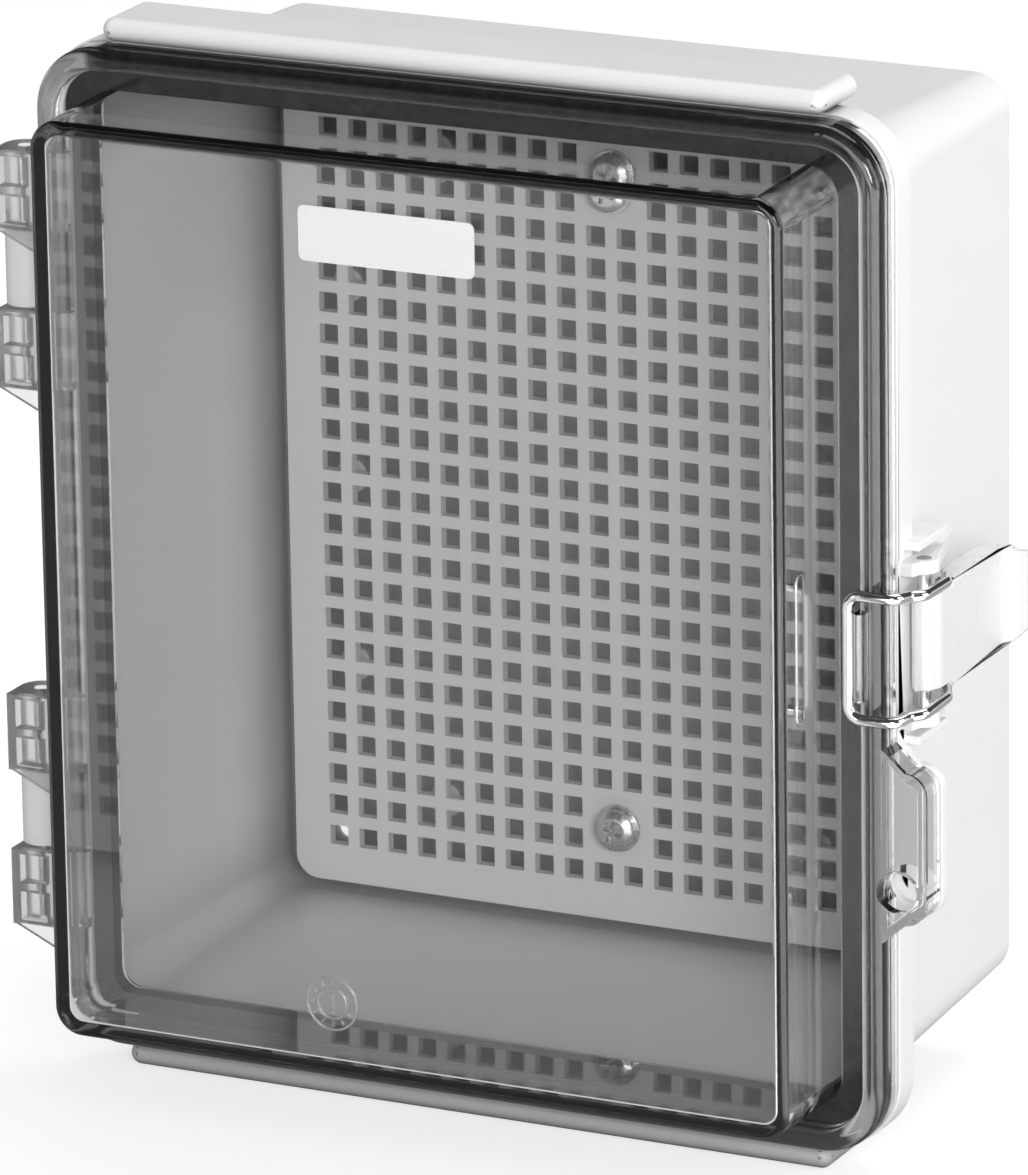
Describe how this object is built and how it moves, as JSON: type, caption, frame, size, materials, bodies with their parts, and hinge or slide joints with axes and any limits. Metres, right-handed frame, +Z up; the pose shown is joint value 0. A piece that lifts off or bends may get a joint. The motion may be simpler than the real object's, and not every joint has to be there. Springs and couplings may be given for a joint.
{
  "type": "hinged wall enclosure",
  "caption": "Wall enclosure for combiner gear: white base, clear raised cover on pin hinges, wire-bail draw latch, padlock ears, perforated mounting plate inside.",
  "frame": {"origin": "centre of the back face, which lies on the wall", "axes": "+X to the right seen from the front, +Y into the wall (the cover faces -Y), +Z up"},
  "size_m": [0.2235, 0.1202, 0.2396],
  "materials": {
    "white_abs": "satin moulded ABS, off white",
    "clear_pc": "clear polycarbonate with a light smoke tint, polished",
    "foam": "dark grey foamed seal",
    "steel": "plain steel pin",
    "white_lever": "white moulded plastic, semi gloss",
    "stainless_wire": "polished stainless wire",
    "grey_plate": "light grey moulded plate, fine matt texture",
    "screw_steel": "zinc plated steel",
    "label": "plain white film label, bare"
  },
  "bodies": {
    "base": {"base_tub": "white_abs", "upper_hinge_pin": "steel", "lower_hinge_pin": "steel", "lever_pivot_pin": "steel", "mounting_plate": "grey_plate", "upper_plate_screw": "screw_steel", "lower_plate_screw": "screw_steel", "upper_plate_washer": "screw_steel", "lower_plate_washer": "screw_steel"},
    "door": {"cover": "clear_pc", "cover_gasket": "foam", "blank_label": "label"},
    "lever": {"latch_lever": "white_lever"},
    "bail": {"latch_bail": "stainless_wire"}
  },
  "joints": [
    {"name": "door_hinge", "type": "hinge", "parent": "base", "child": "door", "pos_m": [-0.1065, -0.0885, 0], "axis": [0, 0, -1], "range_deg": [0, 180]},
    {"name": "lever_pivot", "type": "hinge", "parent": "base", "child": "lever", "pos_m": [0.1037, -0.0813, -0.0005], "axis": [0, 0, -1], "range_deg": [0, 110]},
    {"name": "bail_pivot", "type": "hinge", "parent": "lever", "child": "bail", "pos_m": [0.105, -0.073, -0.0005], "axis": [0, 0, 1], "range_deg": [0, 184.8]}
  ],
  "couplings": [
    {"joint": "bail_pivot", "follows": "lever_pivot", "ratio": 1.68}
  ]
}
